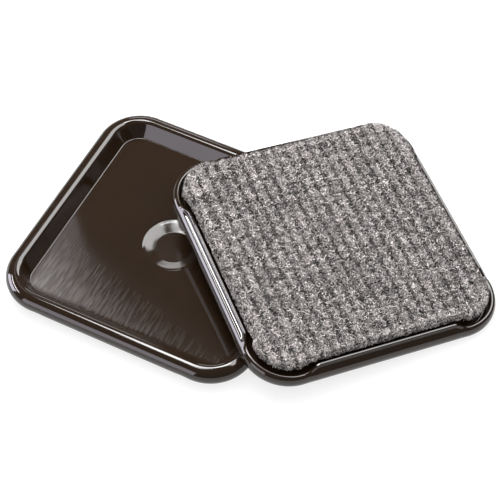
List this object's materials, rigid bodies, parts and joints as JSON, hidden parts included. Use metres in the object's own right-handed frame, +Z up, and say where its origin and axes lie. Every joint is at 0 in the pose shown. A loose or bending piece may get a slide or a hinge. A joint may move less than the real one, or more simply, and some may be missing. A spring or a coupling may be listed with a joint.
{
  "type": "caster cup",
  "caption": "Square round-cornered plastic caster cup with a raised rim, dimpled tray floor and ribbed grey carpet base, upright, with its mate turned over and leaning on the rim.",
  "frame": {"origin": "centre of the upright cup's carpet face, on the floor that the cup stands on", "axes": "+Z up out of the upright cup's tray, X and Y along that cup's sides, +X towards the side that the other cup leans on"},
  "size_m": [0.1284, 0.1025, 0.0206],
  "materials": {
    "brown_plastic": "glossy dark brown moulded plastic with a faintly streaked tray floor",
    "glue_film": "thin cloudy adhesive film",
    "latex_backing": "matt dark latex coat",
    "grey_carpet": "ribbed needle-punched carpet of mixed light and dark grey fibres"
  },
  "bodies": {
    "upright_cup": {"upright_tray": "brown_plastic", "upright_glue_film": "glue_film", "upright_carpet_backing": "latex_backing", "upright_carpet_pile": "grey_carpet"},
    "leaning_cup": {"leaning_tray": "brown_plastic", "leaning_glue_film": "glue_film", "leaning_carpet_backing": "latex_backing", "leaning_carpet_pile": "grey_carpet"}
  },
  "joints": [
    {"name": "leaning_cup_lift", "type": "slide", "parent": "upright_cup", "child": "leaning_cup", "axis": [0, 0, 1], "range_m": [0, 0.06]}
  ]
}
